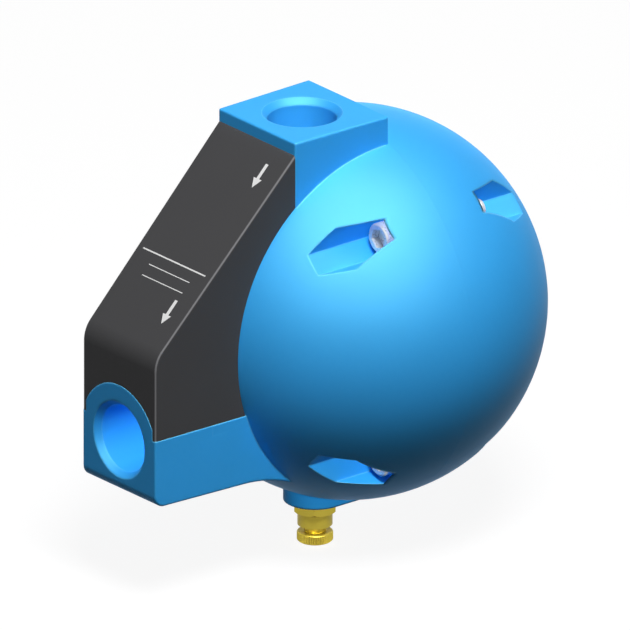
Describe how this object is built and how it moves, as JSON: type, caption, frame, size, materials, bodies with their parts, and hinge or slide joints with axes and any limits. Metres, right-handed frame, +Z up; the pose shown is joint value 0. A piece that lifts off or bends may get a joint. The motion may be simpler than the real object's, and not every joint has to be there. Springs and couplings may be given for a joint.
{
  "type": "automatic drain valve",
  "caption": "Ball-shaped float drain valve for compressed air, with a top inlet, a side outlet under a sloped cover and a knurled hand drain below.",
  "frame": {"origin": "on the inlet's axis where its thread begins, 1.7 mm below the top face of the inlet block", "axes": "+Z up out of the inlet, -X out of the side outlet, Y across the valve"},
  "size_m": [0.1318, 0.106, 0.1237],
  "materials": {
    "blue_casting": "cast aluminium with a smooth bright blue coating",
    "black_plastic": "moulded black plastic, finely grained",
    "zinc_steel": "bright zinc plate",
    "yellow_brass": "turned brass, bright",
    "stainless": "pressed and drawn stainless steel",
    "black_rubber": "nitrile rubber"
  },
  "bodies": {
    "housing": {"body_casting": "blue_casting", "ball_cover": "blue_casting", "joint_o_ring": "black_rubber", "label_cover": "black_plastic", "clamp_screws": "zinc_steel", "clamp_washers": "zinc_steel", "clamp_nuts": "zinc_steel", "inlet_strainer": "stainless", "strainer_ring": "stainless", "drain_valve_body": "yellow_brass", "valve_seat": "yellow_brass", "seat_gasket": "black_rubber", "lever_bracket": "stainless", "bracket_screws": "stainless", "pivot_pin": "stainless", "pin_clips": "stainless"},
    "float_arm": {"float_lever": "stainless", "poppet_holder": "yellow_brass", "poppet_seal": "black_rubber", "float_shell_near": "stainless", "float_shell_far": "stainless", "float_stud": "stainless", "float_nut": "stainless"},
    "spindle_travel": {"spindle_o_ring": "black_rubber"},
    "spindle_turn": {"drain_spindle": "yellow_brass", "drain_knob": "yellow_brass"}
  },
  "joints": [
    {"name": "float_swing", "type": "hinge", "parent": "housing", "child": "float_arm", "pos_m": [-0.0125, 0, -0.0682], "axis": [0, -1, 0], "range_deg": [0, 15]},
    {"name": "drain_travel", "type": "slide", "parent": "housing", "child": "spindle_travel", "axis": [0, 0, -1], "range_m": [0, 0.0012]},
    {"name": "drain_turn", "type": "hinge", "parent": "spindle_travel", "child": "spindle_turn", "pos_m": [0.0044, 0, -0.12], "axis": [0, 0, -1], "range_deg": [0, 540]}
  ],
  "couplings": [
    {"joint": "drain_turn", "follows": "drain_travel", "rad_per_m": 7854}
  ]
}
